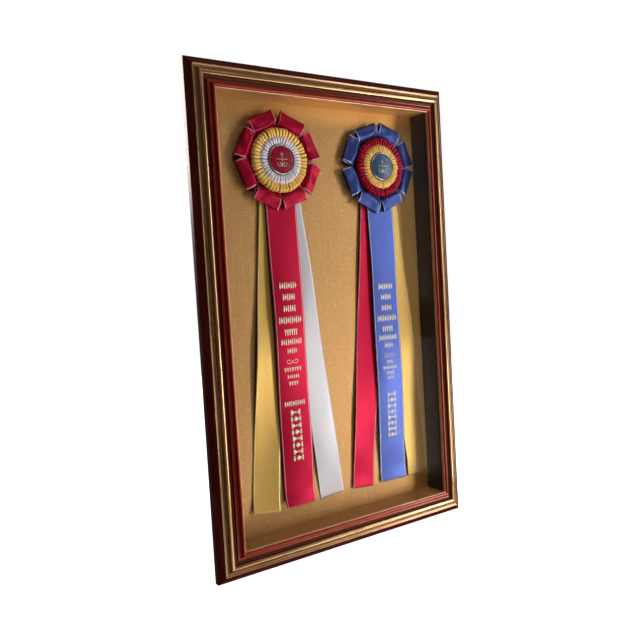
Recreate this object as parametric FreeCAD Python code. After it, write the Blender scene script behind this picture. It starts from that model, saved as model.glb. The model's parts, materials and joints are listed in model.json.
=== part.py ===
"""Framed shadow box holding two award rosettes, each with three satin streamers.

Millimetres.  X runs across the front, Y runs from the front towards the wall, Z is up.
The origin is the centre of the flat underside of the bottom rail, where the frame rests.
"""
import FreeCAD, Part
import math
import os

os.makedirs("parts", exist_ok=True)

V = FreeCAD.Vector

# ---------------------------------------------------------------- driving dimensions
WIDTH = 508.0              # outside width of the frame
HEIGHT = 790.0             # outside height of the frame
SIDE_DEPTH = 10.4          # flat outer edge of the moulding, front to back
RAIL_WIDTH = 44.7          # outer edge to sight edge
BEAD_FRONT = -21.7         # crest of the red bead, the frontmost line of the frame
LIP_BACK = -12.2           # back of the sight lip, where the glass bears
LEG_OUTER = 20.0           # outer face of the deep leg behind the moulding face
LEG_INNER = 38.5           # rabbet wall
LEG_BACK = 38.5            # back of the deep leg

GLASS_THICK = 2.4
GLASS_EDGE = 39.5          # glass edge, measured in from the outer edge
SPACER_THICK = 5.0
SPACER_EDGE = 38.7
FABRIC_FRONT = 29.5        # front face of the fabric on the display board
FABRIC_THICK = 0.5
FABRIC_EDGE = 39.2
FABRIC_TURN = 25.0         # fabric turned over the back of the board
BOARD_THICK = 5.0
PANEL_THICK = 2.6
PANEL_EDGE = 39.2
GAP = 0.2                  # assembly clearance between stacked layers

TURN_PIVOT = 29.5          # screw line of the turn buttons, in from the outer edge
TURN_REACH = 19.0          # pivot to rounded tip
TURN_WIDTH = 11.0
TURN_THICK = 1.2
TURN_LIFT = 0.3            # running gap under and over a turn button
SCREW_RADIUS = 2.0
SCREW_DEPTH = 13.0
SCREW_HEAD_RADIUS = 3.7
SCREW_HEAD_HEIGHT = 2.0
RUNNING_CLEARANCE = 0.05   # radial, on the screws and in the hanger eyes

HANGER_HEIGHT = 553.0      # height of both strap hangers
HANGER_PIVOT = 44.0        # eye of the strap, in from the outer edge
STRAP_WIDTH = 12.0
STRAP_THICK = 1.2
STRAP_END = 23.0
STRAP_SCREW = 31.0
RING_WIRE = 1.5            # D-ring wire radius
RING_HALF = 10.0           # half height of the D-ring, on the wire's centre
RING_STRAIGHT = 8.0        # straight cheeks before the round of the D
RING_CORNER = 2.5

PAD_RADIUS = 6.0
PAD_HEIGHT = 3.0
PAD_CENTRE = 60.0          # above the frame's underside

NAIL_LEG = 6.0             # V-nail, each leg
NAIL_THICK = 0.6
NAIL_DEPTH = 8.0

TURN_HIGH = 640.0          # screw heights of the buttons on the side rails
TURN_LOW = 180.0
CROSS_REACH = 2.4          # half length of a screw's cross slot
CROSS_HALF = 0.4
CROSS_FLOOR = 1.0          # metal left under the slot
HEAD_ROUND = 0.9

PETAL_COUNT = 8
PETAL_OUTER = 75.0         # rosette centre to the square end of a loop
PETAL_INNER = 26.0
PETAL_HALF_WIDTH = 27.0
PETAL_ROOT_HALF = 9.0
PETAL_FRONT = 16.0
PETAL_BACK = 25.8
OUTER_PLEAT_RADIUS = 52.0
INNER_PLEAT_RADIUS = 38.7
PLEAT_THICK = 2.0
OUTER_PLEAT_FRONT = 13.6
INNER_PLEAT_FRONT = 11.2
BUTTON_RADIUS = 24.4
BUTTON_FRONT = 7.6
BUTTON_BACK = 10.9
BUTTON_RIM = 2.4
BUTTON_RECESS = 0.6
INSERT_THICK = 1.6
CLOTH_CLEAR = 0.3
CARD_RADIUS = 34.0
CARD_THICK = 1.3
STREAMER_THICK = 0.4
STREAMER_PITCH = 0.6       # streamers lie one over another at this spacing
STREAMER_TOP = 12.0        # streamers start this far above the rosette's centre
CENTRE_STREAMER = 58.0     # ribbon widths
SIDE_STREAMER = 48.6
STAPLE_RADIUS = 0.4
STAPLE_HALF = 6.0
PIN_RADIUS = 0.5
PIN_SPREAD = 11.0
PIN_RISE = 24.0

# centre of each rosette, hem height, and each side streamer's offset at the centre and lean
ROSETTES = {
    "red": {"x": -87.4, "z": 650.8, "hem": 78.0, "left": (-7.2, -5.3), "right": (9.0, 6.4)},
    "blue": {"x": 120.5, "z": 648.8, "hem": 77.0, "left": (-10.0, -5.7), "right": (11.2, 5.2)},
}

HALF = WIDTH / 2
SIDE_FRONT = -SIDE_DEPTH / 2
SIDE_BACK = SIDE_DEPTH / 2
GLASS_FRONT = LIP_BACK + GAP
SPACER_FRONT = GLASS_FRONT + GLASS_THICK + GAP
CLOTH_FACE = FABRIC_FRONT - CLOTH_CLEAR   # where things that lie on the cloth end
SPACER_BACK = CLOTH_FACE
BOARD_FRONT = FABRIC_FRONT + FABRIC_THICK
BOARD_BACK = BOARD_FRONT + BOARD_THICK
PANEL_BACK = LEG_BACK - GAP
PANEL_FRONT = PANEL_BACK - PANEL_THICK
TURN_FRONT = LEG_BACK + TURN_LIFT
TURN_BACK = TURN_FRONT + TURN_THICK
EYE_RADIUS = RING_WIRE + RUNNING_CLEARANCE + STRAP_THICK
EYE_Y = LEG_BACK + EYE_RADIUS


# ---------------------------------------------------------------- helpers
def save(shape, node):
    """Write one named piece."""
    shape.exportStep("parts/" + node + ".step")


def box(x0, x1, y0, y1, z0, z1):
    """A block between two corners."""
    return Part.makeBox(x1 - x0, y1 - y0, z1 - z0, V(x0, y0, z0))


def framed_box(edge, y0, y1):
    """A sheet inside the frame whose border lies `edge` in from the outside."""
    return box(-HALF + edge, HALF - edge, y0, y1, edge, HEIGHT - edge)


def rod(x, z, y0, y1, radius):
    """A round bar running front to back."""
    return Part.makeCylinder(radius, y1 - y0, V(x, y0, z), V(0, 1, 0))


def prism(points, y0, y1):
    """A polygon in the X-Z plane, extruded front to back."""
    corners = [V(x, y0, z) for x, z in points]
    wire = Part.makePolygon(corners + corners[:1])
    return Part.Face(wire).extrude(V(0, y1 - y0, 0))


# ---------------------------------------------------------------- moulding
def arc(start, middle, end):
    return Part.Arc(V(*start, 0), V(*middle, 0), V(*end, 0)).toShape()


def line(start, end):
    return Part.LineSegment(V(*start, 0), V(*end, 0)).toShape()


def moulding_profile():
    """Closed outline in (distance in from the outer edge, Y)."""
    shoulder_top = (9.9, -11.9)
    ridge_end = (12.1, -12.0)
    cove_end = (16.4, -13.0)
    torus_end = (27.6, -13.2)
    groove_end = (32.4, -14.5)
    valley = (37.6, -19.2)
    second_end = (43.0, -17.2)
    sight_front = (RAIL_WIDTH, -15.4)
    edges = [
        line((0, SIDE_BACK), (0, SIDE_FRONT)),
        line((0, SIDE_FRONT), shoulder_top),
        arc(shoulder_top, (11.0, -12.9), ridge_end),
        arc(ridge_end, (14.2, -11.5), cove_end),
        arc(cove_end, (22.0, -16.7), torus_end),
        arc(torus_end, (29.9, -11.0), groove_end),
        arc(groove_end, (34.9, BEAD_FRONT), valley),
        arc(valley, (40.3, -20.2), second_end),
        line(second_end, sight_front),
        line(sight_front, (RAIL_WIDTH, LIP_BACK)),
        line((RAIL_WIDTH, LIP_BACK), (LEG_INNER, LIP_BACK)),
        line((LEG_INNER, LIP_BACK), (LEG_INNER, LEG_BACK)),
        line((LEG_INNER, LEG_BACK), (LEG_OUTER, LEG_BACK)),
        line((LEG_OUTER, LEG_BACK), (LEG_OUTER, SIDE_BACK)),
        line((LEG_OUTER, SIDE_BACK), (0, SIDE_BACK)),
    ]
    return Part.Face(Part.Wire(edges))


def place(shape, along, inward, start):
    """Stand a shape drawn in (inward, Y, along) axes at `start`, turned but not mirrored."""
    matrix = FreeCAD.Matrix(
        inward.x, 0, along.x, start.x,
        inward.y, 1, along.y, start.y,
        inward.z, 0, along.z, start.z,
        0, 0, 0, 1)
    placed = shape.copy()
    placed.Placement = FreeCAD.Placement(matrix)
    return placed


def mitred_rail(length):
    """One length of moulding with both ends cut at 45 degrees; local Z runs along it."""
    bar = moulding_profile().extrude(V(0, 0, length))
    reach = RAIL_WIDTH + 5
    outline = [(-1, -1), (-1, length + 1), (reach, length - reach), (reach, reach)]
    corners = [V(u, -60, s) for u, s in outline]
    keep = Part.Face(Part.makePolygon(corners + corners[:1])).extrude(V(0, 120, 0))
    return bar.common(keep).Solids[0]


def v_nails():
    """Two V-nails in the back of each mitre."""
    nails = []
    for sx in (-1, 1):
        for sz in (-1, 1):
            for inset in (25.5, 33.0):
                x = sx * (HALF - inset)
                z = HEIGHT / 2 + sz * (HEIGHT / 2 - inset)
                half = NAIL_THICK / 2
                points = [
                    (x + sx * half, z + sz * half),
                    (x - sx * NAIL_LEG, z + sz * half),
                    (x - sx * NAIL_LEG, z - sz * half),
                    (x - sx * half, z - sz * half),
                    (x - sx * half, z - sz * NAIL_LEG),
                    (x + sx * half, z - sz * NAIL_LEG),
                ]
                nails.append(prism(points, LEG_BACK - NAIL_DEPTH, LEG_BACK))
    return nails


# ---------------------------------------------------------------- back hardware
# name, screw position and the direction in which the button points over the panel
TURN_BUTTONS = [
    ("left_upper", -HALF + TURN_PIVOT, TURN_HIGH, (1, 0)),
    ("left_lower", -HALF + TURN_PIVOT, TURN_LOW, (1, 0)),
    ("right_upper", HALF - TURN_PIVOT, TURN_HIGH, (-1, 0)),
    ("right_lower", HALF - TURN_PIVOT, TURN_LOW, (-1, 0)),
    ("top", 0.0, HEIGHT - TURN_PIVOT, (0, -1)),
    ("bottom", 0.0, TURN_PIVOT, (0, 1)),
]


def turn_button(x, z, toward):
    """A flat plate with round ends, pierced for its screw."""
    half = TURN_WIDTH / 2
    reach = TURN_REACH - half
    plate = rod(x, z, TURN_FRONT, TURN_BACK, half)
    plate = plate.fuse(rod(x + toward[0] * reach, z + toward[1] * reach, TURN_FRONT, TURN_BACK, half))
    side = (toward[1] * half, toward[0] * half)
    points = [
        (x - side[0], z - side[1]),
        (x + side[0], z + side[1]),
        (x + side[0] + toward[0] * reach, z + side[1] + toward[1] * reach),
        (x - side[0] + toward[0] * reach, z - side[1] + toward[1] * reach),
    ]
    plate = plate.fuse(prism(points, TURN_FRONT, TURN_BACK)).removeSplitter()
    return plate.cut(rod(x, z, TURN_FRONT - 1, TURN_BACK + 1, SCREW_RADIUS + RUNNING_CLEARANCE))


def pan_screw(x, z, seat):
    """A pan-head screw whose head bears at Y = seat."""
    shank = rod(x, z, LEG_BACK - SCREW_DEPTH, seat, SCREW_RADIUS)
    head = rod(x, z, seat, seat + SCREW_HEAD_HEIGHT, SCREW_HEAD_RADIUS)
    rim = head.Edges
    top = [e for e in rim if abs(e.BoundBox.YMin - seat - SCREW_HEAD_HEIGHT) < 1e-6 and e.Closed]
    head = head.makeFillet(HEAD_ROUND, top)
    floor = seat + CROSS_FLOOR
    crown = seat + SCREW_HEAD_HEIGHT + 1
    slot = box(x - CROSS_REACH, x + CROSS_REACH, floor, crown, z - CROSS_HALF, z + CROSS_HALF)
    cross = box(x - CROSS_HALF, x + CROSS_HALF, floor, crown, z - CROSS_REACH, z + CROSS_REACH)
    return shank.fuse(head).removeSplitter().cut(slot).cut(cross)


def hanger_strap(side):
    """A steel strap rolled into an eye; side is -1 on the left, 1 on the right."""
    low = HANGER_HEIGHT - STRAP_WIDTH / 2
    high = HANGER_HEIGHT + STRAP_WIDTH / 2
    eye_x = side * (HALF - HANGER_PIVOT)
    ends = sorted((side * (HALF - STRAP_END), eye_x))
    plate = box(ends[0], ends[1], LEG_BACK, LEG_BACK + STRAP_THICK, low, high)
    eye = Part.makeCylinder(EYE_RADIUS, STRAP_WIDTH, V(eye_x, EYE_Y, low))
    bore = Part.makeCylinder(RING_WIRE + RUNNING_CLEARANCE, STRAP_WIDTH + 2, V(eye_x, EYE_Y, low - 1))
    strap = plate.fuse(eye).removeSplitter().cut(bore)
    hole = rod(side * (HALF - STRAP_SCREW), HANGER_HEIGHT, LEG_BACK - 1, LEG_BACK + 2, SCREW_RADIUS)
    return strap.cut(hole)


def d_ring(side):
    """A closed wire ring: straight bar in the eye, two cheeks and a half-round bow."""
    eye_x = side * (HALF - HANGER_PIVOT)

    def at(reach, rise):
        return V(eye_x - side * reach, EYE_Y, HANGER_HEIGHT + rise)

    corner = RING_CORNER
    bend = corner * (1 - math.sqrt(0.5))
    half = RING_HALF
    bow = RING_STRAIGHT
    edges = [
        Part.LineSegment(at(0, corner - half), at(0, half - corner)),
        Part.Arc(at(0, half - corner), at(bend, half - bend), at(corner, half)),
        Part.LineSegment(at(corner, half), at(bow, half)),
        Part.Arc(at(bow, half), at(bow + half, 0), at(bow, -half)),
        Part.LineSegment(at(bow, -half), at(corner, -half)),
        Part.Arc(at(corner, -half), at(bend, bend - half), at(0, corner - half)),
    ]
    path = Part.Wire([edge.toShape() for edge in edges])
    section = Part.Wire(Part.makeCircle(RING_WIRE, at(0, corner - half), V(0, 0, 1)))
    return path.makePipeShell([section], True, True)


# ---------------------------------------------------------------- rosette
def petals(x, z):
    """Eight folded loops as square-ended wedges round the centre."""
    loops = []
    for k in range(PETAL_COUNT):
        angle = math.radians(360 / PETAL_COUNT * (k + 0.5))
        out = (math.cos(angle), math.sin(angle))
        across = (-out[1], out[0])
        outline = [
            (PETAL_INNER, -PETAL_ROOT_HALF), (PETAL_INNER, PETAL_ROOT_HALF),
            (PETAL_OUTER, PETAL_HALF_WIDTH), (PETAL_OUTER, -PETAL_HALF_WIDTH),
        ]
        points = [(x + r * out[0] + s * across[0], z + r * out[1] + s * across[1]) for r, s in outline]
        loops.append(prism(points, PETAL_FRONT, PETAL_BACK))
    return loops


def streamer(x, z, lean, width, layer, hem):
    """A flat ribbon from behind the rosette's centre down to its hem."""
    turn = math.radians(lean)
    down = (math.sin(turn), -math.cos(turn))
    across = (math.cos(turn), math.sin(turn))
    top = -STREAMER_TOP
    length = (z - hem) / math.cos(turn)
    half = width / 2
    points = []
    for s, w in ((top, -half), (top, half), (length, half), (length, -half)):
        points.append((x + s * down[0] + w * across[0], z + s * down[1] + w * across[1]))
    back = CLOTH_FACE - CARD_THICK - layer * STREAMER_PITCH - 0.2
    return prism(points, back - STREAMER_THICK, back)


def staple(x, z):
    """A wire staple through the whole stack, under the button."""
    front = BUTTON_BACK + 0.05
    crown_back = front + 2 * STAPLE_RADIUS
    legs = [rod(x + s * STAPLE_HALF, z, front, CLOTH_FACE, STAPLE_RADIUS) for s in (-1, 1)]
    reach = STAPLE_HALF + STAPLE_RADIUS
    crown = box(x - reach, x + reach, front, crown_back, z - STAPLE_RADIUS, z + STAPLE_RADIUS)
    return crown.fuse(legs[0]).fuse(legs[1]).removeSplitter()


def mounting_pins(x, z):
    """Two headed pins that hold the backing card to the board."""
    pins = []
    head_front = CLOTH_FACE - CARD_THICK - 0.15
    for s in (-1, 1):
        px = x + s * PIN_SPREAD
        shank = rod(px, z + PIN_RISE, head_front, BOARD_FRONT + 3.5, PIN_RADIUS)
        head = rod(px, z + PIN_RISE, head_front, head_front + 0.15, PIN_RADIUS * 2.4)
        pins.append(shank.fuse(head).removeSplitter())
    return pins


def build_rosette(colour, spot):
    """Write every piece of one rosette and return its pins, which pierce the board."""
    x, z, hem = spot["x"], spot["z"], spot["hem"]
    wire = staple(x, z)
    pins = mounting_pins(x, z)
    card_back = CLOTH_FACE
    card = rod(x, z, card_back - CARD_THICK, card_back, CARD_RADIUS)
    for pin in pins:
        card = card.cut(pin)
    save(card.cut(wire), colour + "_backing_card")
    for layer, side in enumerate(("left", "right")):
        shift, lean = spot[side]
        ribbon = streamer(x + shift, z, lean, SIDE_STREAMER, layer, hem + 2)
        save(ribbon.cut(wire), colour + "_" + side + "_streamer")
    save(streamer(x, z, 0.0, CENTRE_STREAMER, 2, hem).cut(wire), colour + "_centre_streamer")
    save(Part.makeCompound(petals(x, z)), colour + "_petals")
    outer = rod(x, z, OUTER_PLEAT_FRONT, OUTER_PLEAT_FRONT + PLEAT_THICK, OUTER_PLEAT_RADIUS)
    save(outer.cut(wire), colour + "_outer_pleats")
    inner = rod(x, z, INNER_PLEAT_FRONT, INNER_PLEAT_FRONT + PLEAT_THICK, INNER_PLEAT_RADIUS)
    save(inner.cut(wire), colour + "_inner_pleats")
    shell = rod(x, z, BUTTON_FRONT, BUTTON_BACK, BUTTON_RADIUS)
    face = BUTTON_RADIUS - BUTTON_RIM
    insert_back = BUTTON_FRONT + BUTTON_RECESS + INSERT_THICK
    shell = shell.cut(rod(x, z, BUTTON_FRONT - 1, insert_back, face))
    save(shell, colour + "_button_shell")
    save(rod(x, z, BUTTON_FRONT + BUTTON_RECESS, insert_back, face), colour + "_button_insert")
    save(wire, colour + "_staple")
    save(Part.makeCompound(pins), colour + "_mounting_pins")
    return pins


# ---------------------------------------------------------------- frame and box
def build_back_hardware():
    """Write buttons, hangers and pads, and return the screws that bite into the rails."""
    screws = []
    for name, x, z, toward in TURN_BUTTONS:
        save(turn_button(x, z, toward), "turn_button_" + name)
        screws.append(pan_screw(x, z, TURN_BACK + TURN_LIFT))
    save(Part.makeCompound(screws), "turn_button_screws")
    hanger_screws = []
    for name, side in (("left", -1), ("right", 1)):
        save(hanger_strap(side), "hanger_strap_" + name)
        save(d_ring(side), "d_ring_" + name)
        hanger_screws.append(pan_screw(side * (HALF - STRAP_SCREW), HANGER_HEIGHT, LEG_BACK + STRAP_THICK))
    save(Part.makeCompound(hanger_screws), "hanger_screws")
    for name, side in (("left", -1), ("right", 1)):
        pad = rod(side * (HALF - TURN_PIVOT), PAD_CENTRE, LEG_BACK, LEG_BACK + PAD_HEIGHT, PAD_RADIUS)
        save(pad, "wall_bumper_" + name)
    return screws + hanger_screws


def build_rails(bites):
    """Write the four mitred rails, cut for the fasteners in `bites`."""
    corners = {
        "left": (HEIGHT, V(0, 0, 1), V(1, 0, 0), V(-HALF, 0, 0)),
        "right": (HEIGHT, V(0, 0, -1), V(-1, 0, 0), V(HALF, 0, HEIGHT)),
        "bottom": (WIDTH, V(-1, 0, 0), V(0, 0, 1), V(HALF, 0, 0)),
        "top": (WIDTH, V(1, 0, 0), V(0, 0, -1), V(-HALF, 0, HEIGHT)),
    }
    for name, (length, along, inward, start) in corners.items():
        rail = place(mitred_rail(length), along, inward, start)
        for bite in bites:
            if rail.BoundBox.intersect(bite.BoundBox):
                rail = rail.cut(bite)
        save(rail, name + "_rail")


def build_box(pins):
    """Write the glass, liner strips, covered board and back panel."""
    save(framed_box(GLASS_EDGE, GLASS_FRONT, GLASS_FRONT + GLASS_THICK), "glass_pane")
    outer = HALF - SPACER_EDGE
    inner = outer - SPACER_THICK
    low, high = SPACER_EDGE, HEIGHT - SPACER_EDGE
    front, back = SPACER_FRONT, SPACER_BACK
    save(box(-outer, outer, front, back, high - SPACER_THICK, high), "spacer_top")
    save(box(-outer, outer, front, back, low, low + SPACER_THICK), "spacer_bottom")
    low, high = low + SPACER_THICK + GAP, high - SPACER_THICK - GAP
    save(box(-outer, -inner, front, back, low, high), "spacer_left")
    save(box(inner, outer, front, back, low, high), "spacer_right")
    board = framed_box(FABRIC_EDGE + FABRIC_THICK, BOARD_FRONT, BOARD_BACK)
    cloth = framed_box(FABRIC_EDGE, FABRIC_FRONT, BOARD_BACK + FABRIC_THICK)
    window = framed_box(FABRIC_EDGE + FABRIC_TURN, BOARD_BACK - 1, BOARD_BACK + 2)
    cloth = cloth.cut(board).cut(window)
    for pin in pins:
        board = board.cut(pin)
        cloth = cloth.cut(pin)
    save(board, "display_board")
    save(cloth, "fabric_cover")
    save(framed_box(PANEL_EDGE, PANEL_FRONT, PANEL_BACK), "back_panel")


nails = v_nails()
save(Part.makeCompound(nails), "corner_v_nails")
build_rails(build_back_hardware() + nails)
all_pins = []
for ribbon_colour, ribbon_spot in ROSETTES.items():
    all_pins += build_rosette(ribbon_colour, ribbon_spot)
build_box(all_pins)
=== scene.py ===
"""Looks of a glazed shadow-box frame with two award rosettes.  Metres, in the frame's own axes."""
import json
import math
import random

import bpy
from mathutils import Matrix, Vector, noise


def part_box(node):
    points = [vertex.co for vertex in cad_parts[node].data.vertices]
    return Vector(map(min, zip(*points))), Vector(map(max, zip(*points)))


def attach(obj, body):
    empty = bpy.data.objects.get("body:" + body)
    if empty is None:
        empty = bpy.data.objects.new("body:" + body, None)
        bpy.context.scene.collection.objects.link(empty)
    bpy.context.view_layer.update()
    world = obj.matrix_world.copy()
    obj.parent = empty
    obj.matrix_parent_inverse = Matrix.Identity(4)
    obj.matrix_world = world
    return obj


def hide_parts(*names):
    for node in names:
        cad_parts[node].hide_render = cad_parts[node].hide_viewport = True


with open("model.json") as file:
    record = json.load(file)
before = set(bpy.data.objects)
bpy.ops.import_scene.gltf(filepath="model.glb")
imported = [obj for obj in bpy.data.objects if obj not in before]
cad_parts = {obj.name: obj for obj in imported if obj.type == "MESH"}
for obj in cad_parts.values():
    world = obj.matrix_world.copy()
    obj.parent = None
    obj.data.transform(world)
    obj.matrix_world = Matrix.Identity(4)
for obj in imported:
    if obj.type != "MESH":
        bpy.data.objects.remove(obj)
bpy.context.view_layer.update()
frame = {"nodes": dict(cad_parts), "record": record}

MM = 0.001
CASE = "display_case"
SEED = 7
LOW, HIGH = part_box("left_rail")
FRAME_WIDTH = -2 * LOW[0]
FRAME_HEIGHT = HIGH[2]
HALF = FRAME_WIDTH / 2


# ================================================================ node helpers
class Nodes:
    """The node tree of a material or world, with short names for the nodes used here."""

    def __init__(self, owner):
        owner.use_nodes = True
        self.owner = owner
        self.tree = owner.node_tree

    def put(self, target, value):
        """Link a socket, or set a plain value."""
        if isinstance(value, bpy.types.NodeSocket):
            self.tree.links.new(value, target)
        elif isinstance(value, (tuple, list)) and len(value) == 3 and target.type == "RGBA":
            target.default_value = (*value, 1.0)
        else:
            target.default_value = value

    def add(self, kind, inputs=None, **settings):
        """A new node with its settings and inputs."""
        node = self.tree.nodes.new("ShaderNode" + kind)
        for key, value in settings.items():
            setattr(node, key, value)
        for key, value in (inputs or {}).items():
            self.put(node.inputs[key], value)
        return node

    def mix_shaders(self, factor, first, second, output):
        """Mix two shaders straight into an output node."""
        mixed = self.add("MixShader", {0: factor, 1: first.outputs[0], 2: second.outputs[0]})
        self.put(output.inputs["Surface"], mixed.outputs[0])

    def ramp(self, factor, stops):
        """A colour ramp; stops are (position, colour)."""
        node = self.add("ValToRGB", {"Fac": factor})
        elements = node.color_ramp.elements
        while len(elements) < len(stops):
            elements.new(0.5)
        for element, (position, colour) in zip(elements, stops):
            element.position = position
            element.color = (*colour, 1.0)
        return node.outputs["Color"]

    def blend(self, factor, first, second, mode="MIX"):
        """Mix two colours."""
        return self.add("Mix", {0: factor, 6: first, 7: second}, data_type="RGBA", blend_type=mode).outputs[2]

    def maths(self, operation, first, second=0.0, third=0.0):
        return self.add("Math", {0: first, 1: second, 2: third}, operation=operation).outputs[0]

    def times(self, first, second):
        return self.maths("MULTIPLY", first, second)

    def remap(self, value, low, high, to_low=0.0, to_high=1.0, smooth=True):
        node = self.add("MapRange", {"Value": value, "From Min": low, "From Max": high,
                                     "To Min": to_low, "To Max": to_high})
        node.interpolation_type = "SMOOTHSTEP" if smooth else "LINEAR"
        return node.outputs["Result"]

    def spread(self, value, low, high):
        """A roughness that follows a noise's middle range, from low to high."""
        return self.remap(value, 0.3, 0.7, low, high, False)

    def space(self, scale=(1, 1, 1), uv=None):
        """Object coordinates, or those of a UV layer, scaled."""
        place = self.add("UVMap", uv_map=uv).outputs[0] if uv else self.add("TexCoord").outputs["Object"]
        return self.add("Mapping", {"Vector": place, "Scale": scale}).outputs[0]

    def noise(self, scale, detail=4.0, roughness=0.55, distortion=0.0, uv=None):
        return self.add("TexNoise", {"Vector": self.space(scale, uv), "Scale": 1.0, "Detail": detail,
                                     "Roughness": roughness, "Distortion": distortion}).outputs["Fac"]

    def bands(self, vector, scale, direction, **inputs):
        return self.add("TexWave", {"Vector": vector, "Scale": scale, **inputs}, wave_type="BANDS",
                        bands_direction=direction).outputs["Fac"]

    def attribute(self, name):
        return self.add("Attribute", attribute_name=name).outputs["Fac"]

    def bump(self, height, strength, distance, normal=None):
        node = self.add("Bump", {"Height": height, "Strength": strength, "Distance": distance})
        if normal is not None:
            self.put(node.inputs["Normal"], normal)
        return node.outputs["Normal"]


class Finish(Nodes):
    """A material with one Principled shader."""

    def __init__(self, name):
        super().__init__(bpy.data.materials.new(name))

    def finish(self, inputs):
        """Set the shader's sockets and give back the material."""
        for key, value in inputs.items():
            self.put(self.tree.nodes["Principled BSDF"].inputs[key], value)
        return self.owner


# ================================================================ mesh helpers
def smooth_shade(mesh, angle=35):
    mesh.shade_smooth()
    mesh.set_sharp_from_angle(angle=math.radians(angle))


def make_piece(name, points, faces, materials, zones=None, uvs=None, uv_name="cloth", angle=35):
    """One mesh object; uvs holds one pair per face corner, zones one material index per face."""
    mesh = bpy.data.meshes.new(name)
    mesh.from_pydata([tuple(p) for p in points], [], faces)
    for mat in materials:
        mesh.materials.append(mat)
    if zones:
        mesh.polygons.foreach_set("material_index", zones)
    if uvs:
        layer = mesh.uv_layers.new(name=uv_name)
        layer.data.foreach_set("uv", [c for pair in uvs for c in pair])
    mesh.update()
    smooth_shade(mesh, angle)
    piece = bpy.data.objects.new(name, mesh)
    bpy.context.scene.collection.objects.link(piece)
    return piece


def sheet_grid(rows, columns, point, uv, wrap=False):
    """Points, faces and corner UVs of a surface given by point(i, j); wrap closes the columns."""
    width = columns if wrap else columns + 1
    points = [point(i, j) for i in range(rows + 1) for j in range(width)]
    faces, uvs = [], []
    for i in range(rows):
        for j in range(columns):
            corners = ((i, j), (i, j + 1), (i + 1, j + 1), (i + 1, j))
            faces.append([a * width + b % width for a, b in corners])
            uvs += [uv(a, b) for a, b in corners]
    return points, faces, uvs


def thicken(piece, thickness, offset=0.0):
    """Give a sheet its real thickness, applied to the mesh."""
    solid = piece.modifiers.new("thickness", "SOLIDIFY")
    solid.thickness = thickness
    solid.offset = offset
    apply_modifiers(piece)


def apply_modifiers(piece):
    graph = bpy.context.evaluated_depsgraph_get()
    mesh = bpy.data.meshes.new_from_object(piece.evaluated_get(graph))
    piece.modifiers.clear()
    piece.data = mesh


def lathe(name, outline, centre, materials, segments=96, zone_of=None):
    """Turn (radius, y) points about the Y axis through centre = (x, z); radius 0 closes a pole."""
    x0, z0 = centre
    points, faces, zones = [], [], []
    rings = []
    for radius, y in outline:
        if radius == 0:
            rings.append([len(points)])
            points.append((x0, y, z0))
            continue
        rings.append(range(len(points), len(points) + segments))
        for k in range(segments):
            turn = 2 * math.pi * k / segments
            points.append((x0 + radius * math.cos(turn), y, z0 + radius * math.sin(turn)))
    for n, (first, second) in enumerate(zip(rings, rings[1:])):
        for k in range(segments):
            a, b = first[k % len(first)], first[(k + 1) % len(first)]
            c, d = second[(k + 1) % len(second)], second[k % len(second)]
            faces.append([v for v, w in zip((a, b, c, d), (b, c, d, a)) if v != w])
            zones.append(zone_of(n) if zone_of else 0)
    return make_piece(name, points, faces, materials, zones)


def settle(piece, node, body=CASE):
    """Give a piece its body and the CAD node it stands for."""
    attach(piece, body)
    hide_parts(node)


def face_on(node):
    """A node's box and the middle of its face, as (low, high, (x, z))."""
    low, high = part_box(node)
    return low, high, ((low[0] + high[0]) / 2, (low[2] + high[2]) / 2)


def arc_points(start, middle, end, count):
    """Points along the circle through three points, leaving out the first."""
    (ax, ay), (bx, by), (cx, cy) = start, middle, end
    d = 2 * (ax * (by - cy) + bx * (cy - ay) + cx * (ay - by))
    a2, b2, c2 = ax * ax + ay * ay, bx * bx + by * by, cx * cx + cy * cy
    ox = (a2 * (by - cy) + b2 * (cy - ay) + c2 * (ay - by)) / d
    oy = (a2 * (cx - bx) + b2 * (ax - cx) + c2 * (bx - ax)) / d
    radius = math.hypot(ax - ox, ay - oy)
    first = math.atan2(ay - oy, ax - ox)
    half = (math.atan2(by - oy, bx - ox) - first + math.pi) % (2 * math.pi) - math.pi
    last = (math.atan2(cy - oy, cx - ox) - first + math.pi) % (2 * math.pi) - math.pi
    if half * last < 0:
        last += math.copysign(2 * math.pi, half)
    turns = [first + last * (k + 1) / count for k in range(count)]
    return [(ox + radius * math.cos(t), oy + radius * math.sin(t)) for t in turns]


def smoothstep(low, high, value):
    t = min(1.0, max(0.0, (value - low) / (high - low)))
    return t * t * (3 - 2 * t)


# ================================================================ frame finishes
def mahogany():
    """Dark red-brown lacquer over fine grain, rubbed through a little on the crests."""
    mat = Finish("mahogany_lacquer")
    grain = mat.noise((6, 420, 1), 6, 0.6, uv="rail")
    cloud = mat.noise((9, 60, 1), 3, uv="rail")
    base = mat.ramp(grain, [(0.3, (0.030, 0.0014, 0.0006)), (0.62, (0.085, 0.0050, 0.0020)),
                            (0.8, (0.120, 0.012, 0.006))])
    base = mat.blend(mat.times(cloud, 0.6), base, (0.030, 0.0022, 0.0012))
    wear = mat.attribute("wear")
    rubbed = mat.times(wear, mat.remap(cloud, 0.45, 0.7))
    base = mat.blend(rubbed, base, (0.20, 0.085, 0.045))
    rough = mat.remap(grain, 0.2, 0.8, 0.28, 0.42, False)
    return mat.finish({
        "Base Color": base, "Roughness": rough, "Specular IOR Level": 0.5, "Specular Tint": (1.0, 0.50, 0.38),
        "Coat Weight": 0.05, "Coat Roughness": 0.22, "Normal": mat.bump(grain, 0.12, 0.0006)})


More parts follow.
